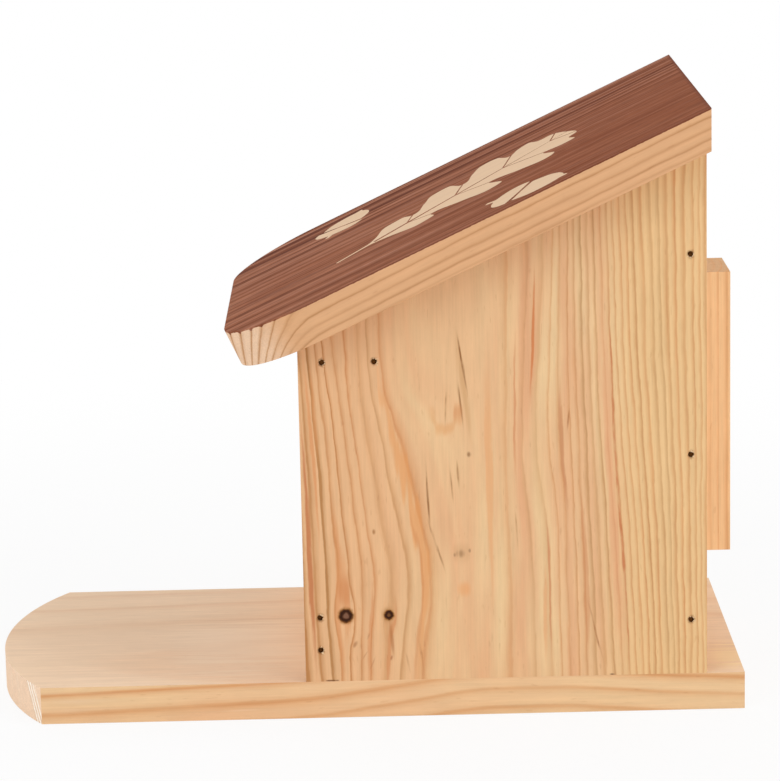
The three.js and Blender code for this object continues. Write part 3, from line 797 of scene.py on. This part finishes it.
# brushed stain on the upper face, bare pine on the motif and the other faces
def stainedPine(name, cut, stain):
    material, add = newMaterial(name)
    wood = bareWood(add, cut)
    color = brushedStain(add, wood, stain)
    motif = add("Mix.RGBA", [0.18, linear(stain["motif"]), wood["color"]])  # with a touch of the grain
    color = add("Mix.RGBA", [motifMask(add, wood["board"]), color, motif])
    # how far it ran over the edge: ragged, and deeper where the end grain drinks
    near, deep = stain["bleed"]
    ragged = add("TexNoise", [wood["board"], stain["raggedPerMm"], 2.0])
    soak = add("Math.MULTIPLY", [wood["line"], wood["endGrain"]])
    run = add("Math.MULTIPLY_ADD", [soak, deep, near])
    run = add("Math.MULTIPLY_ADD", [ragged, 0.5, run])
    depth = add("SeparateXYZ", [wood["board"]]).outputs["Z"]
    run = add("Math.ADD", [run, depth])
    stained = add("MapRange", [run, 0.0, stain["bleedEdge"]])
    wood["color"] = add("Mix.RGBA", [stained, wood["color"], color])
    finishWood(add, wood, 0.01)
    return material


lidMaterial = stainedPine("chestnut stained pine, lid", commonCut | lidCut, lidStain)
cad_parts["lid_board"].data.materials[0] = lidMaterial
print("lid ready")


# Clear cast acrylic, sawn to size: water-clear faces, frosted sawn edges, fine wiping scratches
acrylic = {
    "tints": ("#FEFEFD", "#F6FAF8"), "sawnBand": 0.15 * mm, "relief": 0.1 * mm,
    "scratches": (2.857 * mm, 2.857 * mm, 83.33 * mm), "scratchTurn": 35, "dust": 22.22 * mm,
}


def castAcrylic(name, halfWidth):
    material, add = newMaterial(name)
    place = add("TexCoord").outputs["Object"]
    parts = add("SeparateXYZ", [place])
    sideGap = add("Math.ABSOLUTE", [parts.outputs["X"]])
    sawn = add("Math.GREATER_THAN", [sideGap, halfWidth - acrylic["sawnBand"]])
    scratch = add("Mapping", {
        "Vector": place, "Scale": [1 / length for length in acrylic["scratches"]],
        "Rotation": (0, math.radians(acrylic["scratchTurn"]), 0),
    })
    scratch = add("TexNoise", [scratch, 1.0, 2.0])
    scratch = add("MapRange", [scratch, 0.62, 0.80, 0.0, 0.03])
    rough = add("Math.MULTIPLY_ADD", [sawn, 0.5, scratch])
    rough = add("Math.ADD", [rough, 0.01])
    dust = add("TexNoise", [place, 1 / acrylic["dust"], 3.0])
    relief = add("Bump", {"Strength": 0.02, "Distance": acrylic["relief"], "Height": dust})
    tint = add("Mix.RGBA", [dust, *map(linear, acrylic["tints"])])
    surface = add("BsdfPrincipled", {
        "Base Color": tint, "Roughness": rough, "IOR": 1.49, "Specular IOR Level": 0.12,
        "Transmission Weight": 1.0, "Normal": relief,
    })
    add("OutputMaterial", [surface])
    return material


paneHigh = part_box("front_pane")[1]
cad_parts["front_pane"].data.materials[0] = castAcrylic("clear cast acrylic", paneHigh[0])


# Rolled brass sheet and drawn brass wire, tarnished a little: warm yellow, brushed one way
aged = {
    "tones": ("#DDBE78", "#A9833F"), "relief": 0.05 * mm, "patches": 3.846 * mm,
    "brushed": ((4 * mm, 0.25 * mm, 0.25 * mm), 2.0, 0.5),
}


def agedBrass(name):
    material, add = newMaterial(name)
    place = add("TexCoord").outputs["Object"]
    brushed = grainNoise(add, place, aged["brushed"])
    patches = add("TexNoise", [place, 1 / aged["patches"], 4.0, 0.6])
    tarnish = add("MapRange", [patches, 0.42, 0.66])
    color = add("Mix.RGBA", [tarnish, *map(linear, aged["tones"])])
    rough = add("Math.MULTIPLY_ADD", [tarnish, 0.18, 0.2])
    rough = add("Math.MULTIPLY_ADD", [brushed, 0.22, rough])
    relief = add("Bump", {"Strength": 0.12, "Distance": aged["relief"], "Height": brushed})
    surface = add("BsdfPrincipled", {
        "Base Color": color, "Metallic": 1.0, "Roughness": rough, "Normal": relief,
    })
    add("OutputMaterial", [surface])
    return material


# Zinc-plated steel screws, cool grey with dull patches, and bare steel nails browned by rust and painted
# darker still as shade deep in their holes
fasteners = {
    "zinc": {"tones": ("#C3C6C8", "#8F9294"), "metallic": 1.0, "rough": (0.28, 0.52), "specular": 0.5},
    "rustAndHoleShade": {"tones": ("#663C10", "#351A04"), "metallic": 0.0, "rough": (0.6, 0.85), "specular": 0.1},
    "patches": 2.381 * mm, "relief": 0.05 * mm,
}


def fastenerSteel(name, kind):
    material, add = newMaterial(name)
    look = fasteners[kind]
    patches = add("TexNoise", [add("TexCoord").outputs["Object"], 1 / fasteners["patches"], 4.0, 0.65])
    worn = add("MapRange", [patches, 0.40, 0.65])
    color = add("Mix.RGBA", [worn, *map(linear, look["tones"])])
    rough = add("MapRange", [worn, 0.0, 1.0, *look["rough"]])
    relief = add("Bump", {"Strength": 0.15, "Distance": fasteners["relief"], "Height": patches})
    surface = add("BsdfPrincipled", {
        "Base Color": color, "Metallic": look["metallic"], "Roughness": rough,
        "Specular IOR Level": look["specular"], "Normal": relief,
    })
    add("OutputMaterial", [surface])
    return material


brass = agedBrass("tarnished brass")
brightZinc = fastenerSteel("zinc plated steel", "zinc")
nailSteel = fastenerSteel("rusted nail steel with painted hole shade", "rustAndHoleShade")
for nodeName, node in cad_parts.items():
    if nodeName.startswith("hinge_"):
        node.data.materials[0] = brass
    elif "_nail_" in nodeName:
        node.data.materials[0] = nailSteel
    elif "_screw_" in nodeName:
        node.data.materials[0] = brightZinc
print("metal and pane ready")


# Eased edges: boards lose their sharp arrises to sandpaper, the pane to a scraper.
# Lengths in millimetres, angles in degrees
easing = {
    "lid_board": 0.6, "base_board": 0.9, "front_lip": 0.6, "top_rail": 0.6, "mounting_batten": 0.5,
    "side_panel_right": 0.45, "side_panel_left": 0.45, "back_panel": 0.45, "front_pane": 0.12,
}
edges = {"steps": 3, "easedOver": 40, "sharpOver": 32, "flatWithin": 0.4, "weldWithin": 0.002}


def smoothByAngle():  # geometry nodes: smooth faces, with steep edges left sharp
    group = bpy.data.node_groups.new("smooth shading", "GeometryNodeTree")
    for way in ("INPUT", "OUTPUT"):
        group.interface.new_socket("Geometry", in_out=way, socket_type="NodeSocketGeometry")
    add = partial(addNode, group)
    plain = add("GeometryNodeRemoveAttribute", {"Geometry": add("NodeGroupInput"), "Name": "custom_normal"})
    smooth = add("GeometryNodeSetShadeSmooth", {"Geometry": plain})
    angle = add("GeometryNodeInputMeshEdgeAngle")
    flat = add("FunctionNodeCompare", [angle, math.radians(edges["sharpOver"])], operation="LESS_THAN")
    smooth = add("GeometryNodeSetShadeSmooth", {"Geometry": smooth, "Shade Smooth": flat}, domain="EDGE")
    add("NodeGroupOutput", [smooth])
    return group


def addModifier(node, name, kind, **settings):
    modifier = node.modifiers.new(name, kind)
    for key, value in settings.items():
        setattr(modifier, key, value)


smoothGroup = smoothByAngle()
flatWithin, easedOver = math.radians(edges["flatWithin"]), math.radians(edges["easedOver"])
for nodeName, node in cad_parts.items():
    addModifier(node, "joined corners", "WELD", merge_threshold=edges["weldWithin"] * mm)
    addModifier(node, "flat faces", "DECIMATE", decimate_type="DISSOLVE", angle_limit=flatWithin)
    if nodeName in easing:
        width = easing[nodeName] * mm
        addModifier(node, "eased edges", "BEVEL", width=width, segments=edges["steps"], limit_method="ANGLE",
                    angle_limit=easedOver, use_clamp_overlap=True)
    addModifier(node, "smooth shading", "NODES", node_group=smoothGroup)
    if nodeName in easing:  # the broad faces stay flat up to their eased edges
        addModifier(node, "level faces", "WEIGHTED_NORMAL", mode="FACE_AREA", keep_sharp=True)
print("edges eased")


# Torn fibres round the nail holes: short pale slivers that the nail punch lifted
tornFibres = {
    "slivers": 8, "length": (0.5, 1.4), "width": (0.3, 0.8), "lift": (0.05, 0.3),  # mm
    "rootDepth": 0.05, "tipDepth": 0.02, "sunk": 0.03,  # mm
    "start": (0.85, 1.05), "side": 1.2, "spread": 0.8,  # in hole radii; most on one side, in radians
    "steps": (0, 0.35, 0.7, 1.0), "taper": 0.6,
    "strands": ((0.4 * mm, 0.4 * mm, 3.333 * mm), 3.0, 0.5), "relief": 0.1 * mm,
    "color": ("#F0D7B2", "#D9AE7E"),
}


def tornFibreMaterial():  # torn pine fibre: paler and rougher than the planed face
    material, add = newMaterial("torn pine fibre")
    strands = grainNoise(add, add("TexCoord").outputs["Object"], tornFibres["strands"])
    color = add("Mix.RGBA", [strands, *map(linear, tornFibres["color"])])
    relief = add("Bump", {"Strength": 0.4, "Distance": tornFibres["relief"], "Height": strands})
    surface = add("BsdfPrincipled", {
        "Base Color": color, "Roughness": 0.8, "IOR": 1.5, "Specular IOR Level": 0.1, "Normal": relief,
    })
    add("OutputMaterial", [surface])
    return material


def addSliver(mesh, start, way, length, width, lift, outward):  # a tapering blade that curls up off the face
    side = way.cross(outward).normalized() * width / 2
    rows = []
    tip = outward * tornFibres["tipDepth"] * mm
    for share in tornFibres["steps"]:
        middle = start + way * length * share + outward * lift * share**2
        narrow = side * (1 - share) ** tornFibres["taper"]
        under = outward * -tornFibres["rootDepth"] * mm * (1 - share)
        corners = (middle + narrow, middle - narrow, middle + under - tip)
        rows.append([mesh.verts.new(corner) for corner in corners])
    for low, high in zip(rows, rows[1:]):
        for i in range(3):
            j = (i + 1) % 3
            mesh.faces.new((low[i], low[j], high[j], high[i]))
    mesh.faces.new(rows[0][::-1])
    mesh.faces.new(rows[-1])


# slivers round each nail hole of one side, as one piece
def tornFibrePiece(sideName, outward, faceX, material):
    chance = random.Random(sideName)
    mesh = bmesh.new()
    for y, z, holeRadius in nailHoles(sideName):
        middle = Vector((faceX, y, z))
        tornSide = chance.uniform(-tornFibres["side"], tornFibres["side"])
        for _ in range(tornFibres["slivers"]):
            turn = tornSide + chance.gauss(0, tornFibres["spread"])
            way = Vector((0, math.cos(turn), math.sin(turn)))
            start = middle + way * holeRadius * chance.uniform(*tornFibres["start"])
            start -= outward * tornFibres["sunk"] * mm
            sizes = [chance.uniform(*tornFibres[key]) * mm for key in ("length", "width", "lift")]
            addSliver(mesh, start, way, *sizes, outward)
    bmesh.ops.recalc_face_normals(mesh, faces=mesh.faces)
    data = bpy.data.meshes.new("torn_fibres_" + sideName)
    mesh.to_mesh(data)
    mesh.free()
    data.materials.append(material)
    piece = bpy.data.objects.new("torn_fibres_" + sideName, data)
    bpy.context.scene.collection.objects.link(piece)
    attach(piece, "box")


fibreMaterial = tornFibreMaterial()
tornFibrePiece("right", Vector((1, 0, 0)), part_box("side_panel_right")[1][0], fibreMaterial)
tornFibrePiece("left", Vector((-1, 0, 0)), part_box("side_panel_left")[0][0], fibreMaterial)
print("torn fibres ready")
